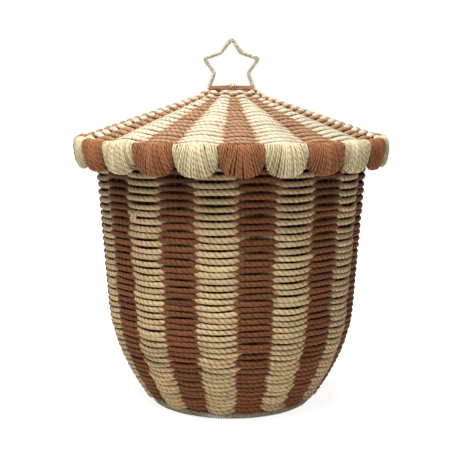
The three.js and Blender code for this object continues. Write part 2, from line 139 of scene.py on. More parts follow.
WALL_FINISH = {
    Stripe.CREAM: CordFinish("wall_cream_cord", "cream_cord", linear(217, 191, 146), linear(123, 95, 57)),
    Stripe.TERRACOTTA: CordFinish(
        "wall_terracotta_cord", "terracotta_cord", linear(128, 78, 45), linear(64, 36, 19)
    ),
}
# Painted light: the lid's cords are paler copies of the wall's cords, lighter because the lid faces the
# strong light from above.
PAINTED_LIGHT_LID_FINISH = {
    Stripe.CREAM: CordFinish("lid_cream_cord", "cream_cord", linear(225, 218, 192), linear(190, 174, 135)),
    Stripe.TERRACOTTA: CordFinish(
        "lid_terracotta_cord", "terracotta_cord", linear(199, 153, 117), linear(109, 72, 47)
    ),
}
SCALLOP_FINISH = {
    Stripe.CREAM: CordFinish(
        "fine_cream_cord", "fine_cream_cord", linear(238, 220, 179), linear(160, 136, 94)
    ),
    Stripe.TERRACOTTA: CordFinish(
        "fine_terracotta_cord", "terracotta_cord", linear(174, 114, 74), linear(98, 57, 35)
    ),
}
CROWN_TERRACOTTA = CordFinish(
    "crown_terracotta_cord", "terracotta_cord", linear(196, 136, 102), linear(140, 90, 62)
)
STAR_CREAM = CordFinish("star_cream_cord", "fine_cream_cord", linear(246, 240, 216), linear(196, 184, 150))
RIM_CREAM = CordFinish("rim_cream_cord", "fine_cream_cord", linear(222, 206, 166), linear(136, 114, 76))
# Painted light: the base hoop's cord is a near-white copy of the rim hoop's cream, lighter to make up for
# the shade under the wall's bulge.
BASE_CREAM_PAINTED_LIGHT = CordFinish("base_cream_cord", "fine_cream_cord", linear(254, 242, 214), linear(170, 148, 112))


@dataclass(frozen=True)
class PaperGrain:
    """What every paper cord shares: fibres along the plies, painted shade in the grooves broken into
    flecks, and slow patches.
    """

    inputs: tuple[str, ...] = ("Colour", "Groove Shade Colour", "Fibre", "Roughness")
    outputs: tuple[str, ...] = ("Colour", "Roughness", "Height")
    fibre_stretch: tuple[float, float, float] = (1.6, 13.0, 1.0)
    fibre_scale: float = 1.0
    fibre_detail: float = 4.0
    fleck_scale: float = 300.0
    fleck_detail: float = 2.0
    fleck_range: tuple[float, float] = (-0.6, 1.8)
    patch_scale: float = 38.0
    patch_detail: float = 2.0
    patch_spread: float = 0.16
    warmth: tuple[tuple[str, float], ...] = (("Red", 1.0), ("Green", 1.06), ("Blue", 1.14))
    least_light: float = 0.02
    rough_spread: float = 0.1
    groove_depth: float = 0.6


@dataclass(frozen=True)
class WireFinish:
    """The look of drawn wire, brown with age and dull in patches."""

    bright: Colour = linear(84, 68, 54)
    dull: Colour = linear(44, 33, 25)
    patch_scale: float = 120.0
    patch_detail: float = 5.0
    roughness: tuple[float, float] = (0.55, 0.85)
    metallic: float = 0.4


@dataclass(frozen=True)
class FloorFinish:
    """The look of the pale floor, with the glow that only the camera sees."""

    colour: Colour = linear(246, 246, 246)
    roughness: float = 0.9
    glow: float = 0.88


@dataclass(frozen=True)
class Shape:
    """The driving dimensions that the pieces share, measured to the middle of the wires."""

    stakes: int = 22
    stripe_turn: float = math.radians(-6.0)
    base_radius: float = 102.0
    base_binding: float = 4.5
    binding_sides: int = 8
    bend_height: float = 72.5
    shoulder_radius: float = 153.5
    shoulder_height: float = 126.0
    rim_radius: float = 168.5
    rim_height: float = 334.0
    rim_binding: float = 5.0
    spokes: int = 24
    sector_turn: float = math.radians(3.4)
    lid_overhang: float = 23.5
    lid_rise: float = 58.0
    lid_thickness: float = 13.0
    crown_radius: float = 28.5
    crown_binding: float = 3.0
    crown_tilt: float = 1.5
    star_centre: float = 28.6
    star_tip: float = 36.4
    star_dent: float = 22.4
    star_bottom: float = 1.0
    star_binding: float = 2.6
    star_bend: float = 4.0
    tie_radius: float = 4.6
    tie_inset: float = 0.5
    knot_radius: float = 5.2
    knot_lift: float = 1.0
    coil_cord: float = 2.6
    wire: float = 1.5
    clearance: float = 0.3

    @property
    def base_height(self) -> float:
        """The height of the base hoop, which stands on a flat of its binding."""
        return self.base_binding * math.cos(math.pi / self.binding_sides)

    @property
    def lid_radius(self) -> float:
        """The radius of the lid hoop."""
        return self.rim_radius + self.lid_overhang

    @property
    def lid_slope(self) -> float:
        """The slope of the lid's cone."""
        return math.atan2(self.lid_rise, self.lid_radius - self.crown_radius)

    @property
    def lid_height(self) -> float:
        """The height of the lid hoop while the lid rests on the rim."""
        seat = self.rim_binding + self.clearance + self.lid_thickness / 2.0
        run = self.lid_radius - self.rim_radius / math.cos(math.pi / self.spokes)
        return self.rim_height + seat / math.cos(self.lid_slope) - run * math.tan(self.lid_slope)

    @property
    def cone_height(self) -> float:
        """The height of the cone's line at the crown's radius."""
        return self.lid_height + self.lid_rise

    @property
    def crown_height(self) -> float:
        """The height of the crown hoop, which lies on the ends of the spokes."""
        cover = self.crown_binding + self.clearance + self.wire
        return self.cone_height + cover / math.cos(self.lid_slope)

    @property
    def foot_height(self) -> float:
        """The height of the star's feet on the crown hoop."""
        return self.crown_height + 2.0 * self.wire + self.clearance

    @property
    def coil_height(self) -> float:
        """The height of the coil under the star's lower run."""
        return self.foot_height - self.star_binding - self.clearance - self.coil_cord


class NodeSheet:
    """A node tree with short calls to place nodes and feed them."""

    def __init__(self, tree: bpy.types.NodeTree) -> None:
        """Keeps the tree that nodes go into."""
        self.tree = tree

    def feed(self, node: Node, given: dict[str | int, object]) -> None:
        """Sets a node's inputs.

        Args:
            node: the node.
            given: a plain value, or a socket to link, for each input by its name or number.
        """
        for name, value in given.items():
            if isinstance(value, Socket):
                self.tree.links.new(value, node.inputs[name])
            else:
                node.inputs[name].default_value = value

    def node(self, kind: str, given: dict[str | int, object] | None = None, **settings: object) -> Node:
        """Places a node.

        Args:
            kind: the node's type name without its ShaderNode prefix.
            given: what its inputs are fed.
            settings: properties to set on it.

        Returns:
            The new node.
        """
        made = self.tree.nodes.new("ShaderNode" + kind)
        for name, value in settings.items():
            setattr(made, name, value)
        self.feed(made, given or {})
        return made

    def math(self, operation: str, first: Socket, second: Socket | float) -> Socket:
        """The result of a two-value sum such as MULTIPLY."""
        return self.node("Math", {0: first, 1: second}, operation=operation).outputs[0]

    def spread(self, value: Socket, low: float, high: float) -> Socket:
        """A value from 0 to 1 spread between two limits."""
        return self.node("MapRange", {"Value": value, "To Min": low, "To Max": high}).outputs["Result"]

    def noise(self, place: Socket, scale: float, detail: float, dimensions: str = "3D") -> Socket:
        """Soft noise at a place."""
        given = {"Vector": place, "Scale": scale, "Detail": detail}
        return self.node("TexNoise", given, noise_dimensions=dimensions).outputs["Fac"]

    def place(self) -> Socket:
        """The place on the object."""
        return self.node("TexCoord").outputs["Object"]

    def seen(self) -> Socket:
        """One for what the camera sees, straight or mirrored, and zero for other light."""
        path = self.node("LightPath").outputs
        return self.math("MAXIMUM", path["Is Camera Ray"], path["Is Glossy Ray"])

    def colour_mix(
        self, blend: str, share: Socket | float, first: Socket | Colour, second: Socket | Colour
    ) -> Socket:
        """Mixes two colours.

        Args:
            blend: the blend type.
            share: how much of the second colour goes in.
            first: the first colour.
            second: the second colour.

        Returns:
            The mixed colour.
        """
        made = self.node("Mix", data_type="RGBA", blend_type=blend)
        numbers = {socket.identifier: number for number, socket in enumerate(made.inputs)}
        given = {"Factor_Float": share, "A_Color": first, "B_Color": second}
        self.feed(made, {numbers[name]: value for name, value in given.items()})
        return next(socket for socket in made.outputs if socket.identifier == "Result_Color")


class Materials:
    """The procedural finishes, each made once and shared."""

    def __init__(self) -> None:
        """Builds the node group that the cords share."""
        self.made: dict[str, Material] = {}
        self.paper = self.paper_group(PaperGrain())

    @staticmethod
    def paper_group(grain: PaperGrain) -> bpy.types.NodeTree:
        """Twisted paper: fibres along each ply, painted shade in the grooves, and slow changes of tone.

        Args:
            grain: what every paper cord shares.

        Returns:
            The group of nodes.
        """
        tree = bpy.data.node_groups.new("Twisted Paper", "ShaderNodeTree")
        for way, names in (("INPUT", grain.inputs), ("OUTPUT", grain.outputs)):
            for name in names:
                kind = "NodeSocketColor" if "Colour" in name else "NodeSocketFloat"
                tree.interface.new_socket(name, in_out=way, socket_type=kind)
        sheet = NodeSheet(tree)
        given = tree.nodes.new("NodeGroupInput").outputs
        along = sheet.node("UVMap", uv_map=CORD_MAP).outputs["UV"]
        stretch = sheet.node("Mapping", {"Vector": along, "Scale": grain.fibre_stretch}).outputs["Vector"]
        fibre = sheet.noise(stretch, grain.fibre_scale, grain.fibre_detail, "2D")
        fleck = sheet.noise(sheet.place(), grain.fleck_scale, grain.fleck_detail)
        patch = sheet.noise(sheet.place(), grain.patch_scale, grain.patch_detail)
        groove = sheet.node("Attribute", attribute_name=GROOVE).outputs["Fac"]
        tone = sheet.node("Attribute", attribute_name=TONE).outputs["Fac"]
        # painted shade: the twist's grooves take the darker groove colour, broken up by flecks
        groove_shade = sheet.math("MULTIPLY", groove, sheet.spread(fleck, *grain.fleck_range))
        ply = sheet.colour_mix("MIX", groove_shade, given["Colour"], given["Groove Shade Colour"])
        streak = sheet.math("MULTIPLY", sheet.spread(fibre, -1.0, 1.0), given["Fibre"])
        slow = sheet.spread(patch, -grain.patch_spread, grain.patch_spread)
        gain = sheet.math("ADD", sheet.math("ADD", streak, slow), tone)
        shade = sheet.node("CombineColor")
        for channel, warmth in grain.warmth:
            light = sheet.math("ADD", sheet.math("MULTIPLY", gain, warmth), 1.0)
            sheet.feed(shade, {channel: sheet.math("MAXIMUM", light, grain.least_light)})
        rough = sheet.spread(fibre, -grain.rough_spread, grain.rough_spread)
        result = {
            "Colour": sheet.colour_mix("MULTIPLY", 1.0, ply, shade.outputs["Color"]),
            "Roughness": sheet.math("ADD", given["Roughness"], rough),
            "Height": sheet.math("SUBTRACT", fibre, sheet.math("MULTIPLY", groove, grain.groove_depth)),
        }
        sheet.feed(tree.nodes.new("NodeGroupOutput"), result)
        return tree

    @staticmethod
    def start(name: str) -> tuple[Material, NodeSheet, Node]:
        """Starts a material.

        Args:
            name: the material's name.

        Returns:
            The material, the sheet of its nodes, and its shader.
        """
        material = bpy.data.materials.new(name)
        material.use_nodes = True
        return material, NodeSheet(material.node_tree), material.node_tree.nodes["Principled BSDF"]

    def cord(self, finish: CordFinish) -> Material:
        """The material of a paper cord, made on first use.

        Args:
            finish: the cord's look.

        Returns:
            The material.
        """
        if finish.name not in self.made:
            material, sheet, shader = self.start(finish.name)
            given = {
                "Colour": finish.colour,
                "Groove Shade Colour": finish.groove_shade_colour,
                "Fibre": finish.fibre,
                "Roughness": finish.roughness,
            }
            paper = sheet.node("Group", given, node_tree=self.paper).outputs
            bump = {"Strength": finish.bump, "Distance": finish.bump_height, "Height": paper["Height"]}
            look = {
                "Base Color": paper["Colour"],
                "Roughness": paper["Roughness"],
                "Normal": sheet.node("Bump", bump).outputs["Normal"],
                "Specular IOR Level": finish.specular,
            }
            sheet.feed(shader, look)
            self.made[finish.name] = material
        return self.made[finish.name]

    def wire(self, finish: WireFinish) -> Material:
        """The material of the drawn wire.

        Args:
            finish: the wire's look.

        Returns:
            The material.
        """
        material, sheet, shader = self.start("drawn_wire")
        patch = sheet.noise(sheet.place(), finish.patch_scale, finish.patch_detail)
        look = {
            "Base Color": sheet.colour_mix("MIX", patch, finish.bright, finish.dull),
            "Roughness": sheet.spread(patch, *finish.roughness),
            "Metallic": finish.metallic,
        }
        sheet.feed(shader, look)
        return material

    def floor(self, finish: FloorFinish) -> Material:
        """A pale floor that keeps the shadow and shows near white to the camera.

        Args:
            finish: the floor's look.

        Returns:
            The material.
        """
        material, sheet, shader = self.start("pale_floor")
        look = {
            "Base Color": finish.colour,
            "Roughness": finish.roughness,
            "Emission Color": WHITE,
            "Emission Strength": sheet.math("MULTIPLY", sheet.seen(), finish.glow),
        }
        sheet.feed(shader, look)
        return material


def polar(radius: Array, angle: Array, height: Array) -> Array:
    """Points at a radius, an angle to the right of the front, and a height."""
    return np.stack(np.broadcast_arrays(radius * np.sin(angle), -radius * np.cos(angle), height), axis=-1)


def unit(vectors: Array) -> Array:
    """Vectors scaled to length one."""
    return vectors / np.linalg.norm(vectors, axis=-1, keepdims=True)


def run_length(points: Array) -> Array:
    """The distance along a line of points, from its start to each of them."""
    return np.concatenate(([0.0], np.cumsum(np.linalg.norm(np.diff(points, axis=0), axis=1))))


def signed_power(value: Array, exponent: float) -> Array:
    """A power that keeps the sign."""
    return np.sign(value) * np.abs(value) ** exponent


def between(share: Array, low: Array | float, high: Array | float) -> Array:
    """A value at a share of the way from low to high."""
    return low + (high - low) * share


def bent(share: Array, start: Array | float, pull: Array | float, end: Array | float) -> Array:
    """Places on a curve from a start to an end, drawn towards a pull between them."""
    return (1.0 - share) ** 2 * start + 2.0 * share * (1.0 - share) * pull + share**2 * end


def even_places(places: Array, points: Array, step: float) -> Array:
    """Places along a line, chosen anew to lie at even steps of its length.

    Args:
        places: close places along the line.
        points: the line's point at each of them.
        step: how long a step is, nearly.

    Returns:
        The new places.
    """
    length = run_length(points)
    even = np.linspace(0.0, length[-1], math.ceil(length[-1] / step))
    return np.interp(even, length, places)


def spiral_turns(eye: float, outer: float, pitch: float, step: float) -> Array:
    """Turn counts along a flat spiral from its eye to its outer radius, at even steps of its length."""
    turns = (outer - eye) / pitch
    return turns * np.sqrt(np.linspace(0.0, 1.0, math.ceil(turns * math.pi * outer / step)))


def uneven(rng: np.random.Generator, place: Array, passes: int, spread: float) -> Array:
    """Values at pass counts that wander from pass to pass, as cord worked by hand does."""
    knots = np.arange(passes + 2)
    return np.interp(place, knots, rng.normal(0.0, spread, knots.size))


class ProfileLine:
    """A line in (radius, height) that is turned round the axis and measured along itself."""

    def __init__(self, radius: Array, height: Array) -> None:
        """Measures the line.

        Args:
            radius: the radius of each point.
            height: the height of each point.
        """
        self.radius = radius
        self.height = height
        self.distance = run_length(np.stack((radius, height), axis=1))
        self.radius_lean = np.gradient(radius, self.distance)
        self.height_lean = np.gradient(height, self.distance)
        self.length = float(self.distance[-1])

    def at(self, distance: Array, values: Array) -> Array:
        """What values known at the line's points are at distances along it."""
        return np.interp(distance, self.distance, values)

    def place(self, distance: Array, angle: Array, out: Array) -> Array:
        """Points near the line.

        Args:
            distance: distances along the line.
            angle: how far each point is turned round the axis.
            out: how far each point is out to the line's right.

        Returns:
            The points.
        """
        radius = self.at(distance, self.radius) + out * self.at(distance, self.height_lean)
        height = self.at(distance, self.height) - out * self.at(distance, self.radius_lean)
        return polar(radius, angle, height)

    def outward(self, distance: Array, angle: Array) -> Array:
        """The direction straight out to the line's right."""
        return polar(self.at(distance, self.height_lean), angle, -self.at(distance, self.radius_lean))


@dataclass(frozen=True)
class Twist:
    """How a two-ply cord is drawn: corners round it, depth of its grooves, and the way it is laid."""

    corners: int = 8
    depth: float = 0.11
    flank: float = 0.3
    lay: int = 1

    @property
    def splits(self) -> tuple[tuple[tuple[int, int], ...], ...]:
        """Two triangles as (steps along, steps round), whose shared side follows the grooves."""
        if self.lay > 0:
            return ((0, 0), (0, 1), (1, 1)), ((0, 0), (1, 1), (1, 0))
        return ((0, 0), (0, 1), (1, 0)), ((0, 1), (1, 1), (1, 0))

    def corner_turn(self) -> Array:
        """The turn of each corner round the cord, from the outward direction."""
        return TAU * np.arange(self.corners) / self.corners + math.pi

    def flank_shade(self, amount: float) -> Array:
        """How much darker each corner is, with the whole amount on the cord's flanks."""
        return (amount * np.sin(self.corner_turn()) ** 2)[None, :]

    def lobes(self, rings: int) -> Array:
        """The size of each ring's corners: one on a ply, less in the two grooves.

        The grooves move on by one corner from each ring to the next, so that they wind along the cord.

        Args:
            rings: the number of rings.

        Returns:
            An array of rings by corners.
        """
        half = self.corners // 2
        shape = np.ones(half)
        shape[[1, -1]] = 1.0 - self.flank * self.depth
        shape[0] = 1.0 - self.depth
        shift = np.arange(self.corners)[None, :] - self.lay * np.arange(rings)[:, None]
        return shape[shift % half]


STOUT = Twist()
FINE = Twist(corners=6, depth=0.2, flank=0.0, lay=-1)


def link_object(name: str, data: bpy.types.ID) -> bpy.types.Object:
    """Makes an object at the origin and links it to the scene.

    Args:
        name: the object's name.
        data: its mesh, lamp or camera.

    Returns:
        The object.
    """
    made = bpy.data.objects.new(name, data)
    bpy.context.scene.collection.objects.link(made)
    return made


@dataclass
class CordMesh:
    """The rings, faces and cord coordinates of one piece, gathered run by run."""

    places: list[Array] = field(default_factory=list)
    faces: list[Array] = field(default_factory=list)
    corners: list[Array] = field(default_factory=list)
    grooves: list[Array] = field(default_factory=list)
    tones: list[Array] = field(default_factory=list)
    count: int = 0

    def add_run(
        self,
        centre: Array,
        outward: Array,
        half_out: Array | float,
        half_across: Array | float,
        twist: Twist,
        tone: Array | float = 0.0,
    ) -> None:
        """Adds one closed run of twisted cord, with a ring square to its path at each point.

        Args:
            centre: the points that the cord's middle passes through.
            outward: the direction that half_out is measured in, at each point.
            half_out: half the cord's size along outward.
            half_across: half the cord's size across.
            twist: how the cord is drawn.
            tone: how much lighter the cord is, for the run or for each corner of each ring.
        """
        rings = len(centre)
        tangent = unit(np.gradient(centre, axis=0))
        out = unit(outward - tangent * np.sum(outward * tangent, axis=1, keepdims=True))
        across = np.cross(tangent, out)
        turn = twist.corner_turn()
        lobes = twist.lobes(rings)
        reach_out = lobes * np.cos(turn) * np.broadcast_to(half_out, (rings,))[:, None]
        reach_across = lobes * np.sin(turn) * np.broadcast_to(half_across, (rings,))[:, None]
        ring_points = (
            centre[:, None, :]
            + reach_out[:, :, None] * out[:, None, :]
            + reach_across[:, :, None] * across[:, None, :]
        )
        self.places.append(ring_points.reshape(-1, 3))
        self.grooves.append(((1.0 - lobes) / twist.depth).ravel())
        self.tones.append(np.broadcast_to(tone, lobes.shape).ravel())
        self.add_faces(rings, twist)

    def add_faces(self, rings: int, twist: Twist) -> None:
        """Adds the triangles between a run's rings and over its ends.

        Args:
            rings: the number of rings in the run.
            twist: how the cord is drawn.
        """
        sides = twist.corners
        ring, side = np.meshgrid(np.arange(rings - 1), np.arange(sides), indexing="ij")
        for split in twist.splits:
            along, around = np.array(split).T
            self.add_corners(ring[:, :, None] + along, side[:, :, None] + around, twist)
        fan = np.arange(1, sides - 1)
        start = np.stack((np.zeros_like(fan), fan + 1, fan), axis=1)
        end = np.stack((np.zeros_like(fan), fan, fan + 1), axis=1)
        self.add_corners(np.repeat((0, rings - 1), len(fan))[:, None], np.concatenate((start, end)), twist)
        self.count += rings * sides

    def add_corners(self, ring: Array, side: Array, twist: Twist) -> None:
        """Adds triangles and their cord coordinates: turns of the twist, and place round it on a ply.

        Args:
            ring: the ring of each triangle's corners.
            side: the corners' places round the ring.
            twist: how the cord is drawn.
        """
        self.faces.append((ring * twist.corners + side % twist.corners).reshape(-1, 3) + self.count)
        along = ring / twist.corners
        around = side / twist.corners - twist.lay * along
        self.corners.append(np.stack(np.broadcast_arrays(along, around), axis=-1).reshape(-1, 2))

    def piece(self, name: str, material: Material) -> bpy.types.Object:
        """Makes the mesh object.

        Args:
            name: the piece's name.
            material: its finish.

        Returns:
            The object, linked to the scene.
        """
        places = np.concatenate(self.places) * MM
        faces = np.concatenate(self.faces)
        mesh = bpy.data.meshes.new(name)
        mesh.vertices.add(len(places))
        mesh.vertices.foreach_set("co", places.astype(np.float32).ravel())
        mesh.loops.add(faces.size)
        mesh.loops.foreach_set("vertex_index", faces.astype(np.int32).ravel())
        mesh.polygons.add(len(faces))
        mesh.polygons.foreach_set("loop_start", np.arange(0, faces.size, 3, dtype=np.int32))
        layer = mesh.uv_layers.new(name=CORD_MAP)
        layer.uv.foreach_set("vector", np.concatenate(self.corners).astype(np.float32).ravel())
        for label, values in ((GROOVE, self.grooves), (TONE, self.tones)):
            attribute = mesh.attributes.new(label, "FLOAT", "POINT")
            attribute.data.foreach_set("value", np.concatenate(values).astype(np.float32))
        mesh.update(calc_edges=True)
        mesh.shade_smooth()
        mesh.materials.append(material)
        return link_object(name, mesh)


@dataclass
class Assembly:
    """Pieces that are built together and ride on one body."""

    shape: Shape
    materials: Materials
    body = Body.LID

    def hand_in(self, mesh: CordMesh, finish: CordFinish, name: str, node: str) -> None:
        """Makes a piece with its finish, sets it on its body, and hides the solid that it stands for.

        Args:
            mesh: the piece's cord.
            finish: the cord's look.
            name: the piece's name.
            node: the solid's name.
        """
        piece = mesh.piece(name, self.materials.cord(finish))
        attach(piece, self.body.value)
        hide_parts(node)
        LOG.info("%s: %d triangles for %s", name, len(piece.data.polygons), node)


@dataclass
class BasketWall(Assembly):
    """The wall: a cream and a terracotta cord that chase each other round an even ring of stakes."""

    body = Body.BASKET
    foot_cover: float = 10.6
    rim_cover: float = 8.6
    closing_share: float = 0.65
    swing: float = 4.5
    pass_half: float = 2.75
    cross_half: float = 3.3
    row_half: float = 3.35
    row_share: float = 0.47
    inner_share: float = 0.68
    squeeze_share: float = 0.42
    pitches: tuple[float, float] = (6.9, 9.8)
    sways: tuple[float, float] = (1.1, 0.3)
    open_from: float = 100.0
    wobble: float = 0.2
    wobble_rates: tuple[float, ...] = (1.31, 2.63, 5.37)
    bluntness: float = 0.72
    pass_drift: float = 0.45
    pass_shift: float = 0.046
    pass_swell: float = 0.06
    tone_spread: float = 0.07
    terracotta_spread: float = 0.13
    # painted shade on the outward side of the inner passes, in the gaps between rows
    gap_shade: float = 0.8
    # painted shadow under the lid's overhang, and how far down the rim it reaches
    rim_shade: float = 0.5
    rim_shade_reach: float = 55.0
    ring_step: float = 1.65
    ring_group: int = 4
    curve_points: int = 60
    row_points: int = 2000
    splice_stake: int = 20
    splice_turn: float = math.radians(-3.6)
    splice_height: float = 256.0
    splice_loops: int = 3
    splice_spacing: float = 3.3
    splice_lean: float = 2.4
    splice_stray: float = 1.0
    splice_reach: float = 6.6
    splice_half: float = 1.5
    splice_squareness: int = 4
    splice_rings: int = 15
    seed: int = 11

    def __post_init__(self) -> None:
        """Works out the stake's line and where each row lies along it."""
        self.line = self.stake_line()
        self.rng = np.random.default_rng(self.seed)
        self.wobble_phase = self.rng.uniform(0.0, TAU, (len(Stripe), len(self.wobble_rates)))
        self.row_distance = np.linspace(0.0, self.line.length, self.row_points)
        pitch = self.pitch((self.row_distance[1:] + self.row_distance[:-1]) / 2.0)
        self.row_turn = np.concatenate(([0.0], np.cumsum(np.diff(self.row_distance) / pitch)))

    def stake_line(self) -> ProfileLine:
        """A stake's line: a curve pulled out to the shoulder, then straight up to the rim."""
        shape = self.shape
        share = np.linspace(0.0, 1.0, self.curve_points)
        lean = (shape.rim_radius - shape.shoulder_radius) / (shape.rim_height - shape.shoulder_height)
        pull = shape.shoulder_radius - (shape.shoulder_height - shape.bend_height) * lean
        bend_radius = bent(share, shape.base_radius, pull, shape.shoulder_radius)
        bend_height = bent(share, shape.base_height, shape.bend_height, shape.shoulder_height)
        wall_radius = np.linspace(shape.shoulder_radius, shape.rim_radius, self.curve_points)
        wall_height = np.linspace(shape.shoulder_height, shape.rim_height, self.curve_points)
        return ProfileLine(
            np.concatenate((bend_radius, wall_radius[1:])), np.concatenate((bend_height, wall_height[1:]))
        )

    def opening(self, distance: Array) -> Array:
        """How far the rows have opened, from 0 near the base to 1 at the rim."""
        return np.clip((distance - self.open_from) / (self.line.length - self.open_from), 0.0, 1.0)

    def pitch(self, distance: Array) -> Array:
        """The distance from one row to the next of the same colour."""
        return between(self.opening(distance), *self.pitches)

    def row(self, mesh: CordMesh, stake: int, stripe: Stripe, turn: float) -> None:
        """Adds a cord's pass over one stake and half way behind both neighbours.

        The cord's middle is the stake's line moved out by swing times a blunted cosine of the place
        between stakes, so that it is outside its own stake and inside the next. It is squeezed where
        the two cords cross and spread inside. There, the side that faces the gaps gets painted shade.
        Near the rim, the cord gets painted shadow, darker towards the rim, where the lid's overhang shades
        the wall.

        Args:
            mesh: the mesh to add to.
            stake: the stake's number.
            stripe: the cord's colour.
            turn: the cord's turn count at the stake.
        """
        line, rng = self.line, self.rng
        cream = stripe is Stripe.CREAM
        gap = TAU / self.shape.stakes
        radius = line.at(np.interp(turn, self.row_turn, self.row_distance), line.radius)
        groups = round(float(radius) * 2.0 * gap / (self.ring_group * self.ring_step))
        local = np.linspace(-gap, gap, self.ring_group * groups + 1)
        shift = rng.normal(0.0, self.pass_shift) * gap
        own = signed_power(np.cos((local + shift) * self.shape.stakes / 2.0), self.bluntness)
        share = np.abs(own)
        turns = turn + local / TAU
        distance = np.interp(turns, self.row_turn, self.row_distance)
        distance = np.minimum(distance, line.length - self.rim_cover)
        pitch = self.pitch(distance)
        sway = between(self.opening(distance), *self.sways)
        waves = zip(self.wobble_rates, self.wobble_phase[0 if cream else 1])
        drift = sum(np.sin(rate * TAU * turns + phase) for rate, phase in waves)
        lift = rng.normal(0.0, self.pass_drift) * np.maximum(own, 0.0)
        distance = distance - stripe.sign * sway * own + self.wobble * drift + lift
        angle = self.shape.stripe_turn + stake * gap + local
        row_half = np.minimum(self.row_half, self.row_share * pitch)
        row_half = row_half * (1.0 + rng.normal(0.0, self.pass_swell))
        widest = np.where(own > 0.0, row_half, self.inner_share * pitch)
        half_across = between(share, self.squeeze_share * pitch, widest)
        half_out = between(share, self.cross_half, self.pass_half)
        # painted shade: the outward side of each inner pass is darkened where it faces the gaps between
        # rows
        facing = np.maximum(np.cos(STOUT.corner_turn()), 0.0)
        gap_shade_mask = np.maximum(-own, 0.0)[:, None] * facing[None, :]
        # painted shadow: rows near the rim are darkened, where the lid's overhang shades the wall
        rim_shadow_mask = np.exp(-(((line.length - distance) / self.rim_shade_reach) ** 2))[:, None]
        tone = rng.normal(0.0, self.tone_spread if cream else self.terracotta_spread)
        tone = tone - self.gap_shade * gap_shade_mask - self.rim_shade * rim_shadow_mask
        centre = line.place(distance, angle, self.swing * own)
        mesh.add_run(centre, line.outward(distance, angle), half_out, half_across, STOUT, tone)

    def splice(self, mesh: CordMesh) -> None:
        """Adds the knot where a new length of cord is tied in: short upright loops over two rows.

        Args:
            mesh: the mesh to add to.
        """
        middle = np.interp(self.splice_height, self.line.height, self.line.distance)
        radius = np.interp(self.splice_height, self.line.height, self.line.radius)
        stake_angle = self.shape.stripe_turn + TAU * self.splice_stake / self.shape.stakes
        share = np.linspace(-1.0, 1.0, self.splice_rings)
        rise = 2.0 * self.pass_half + self.splice_half / 2.0
        out = self.swing - self.pass_half + rise * (1.0 - share**self.splice_squareness)
        for loop in range(self.splice_loops):
            across = (loop - (self.splice_loops - 1) / 2.0) * self.splice_spacing
            leaning = across + self.splice_lean * (-1) ** loop * share
            angle = stake_angle + self.splice_turn + leaning / radius
            stray = self.rng.uniform(-self.splice_stray, self.splice_stray)
            distance = middle + self.splice_reach * share + stray
            centre, outward = self.line.place(distance, angle, out), self.line.outward(distance, angle)
            mesh.add_run(centre, outward, self.splice_half, self.splice_half, FINE, self.tone_spread)

    def build(self) -> None:
        """Builds one piece for each stripe, from the base hoop to a last row beaten up to the rim."""
        ends = (self.foot_cover, self.line.length - self.rim_cover)
        low, high = np.interp(ends, self.row_distance, self.row_turn)
        for stake in range(self.shape.stakes):
            stripe = Stripe.CREAM if stake % 2 == 0 else Stripe.TERRACOTTA
            offset = stake / self.shape.stakes + stripe.lag
            mesh = CordMesh()
            for turn in np.arange(-1, math.ceil(high) + 1) + offset:
                if low <= turn <= high + self.closing_share:
                    self.row(mesh, stake, stripe, float(turn))
            if stake == self.splice_stake:
                self.splice(mesh)
            number = f"{stripe.value}_{stake // 2 + 1:02d}"
            self.hand_in(mesh, WALL_FINISH[stripe], f"wall_cord_{number}", f"wall_stripe_{number}")


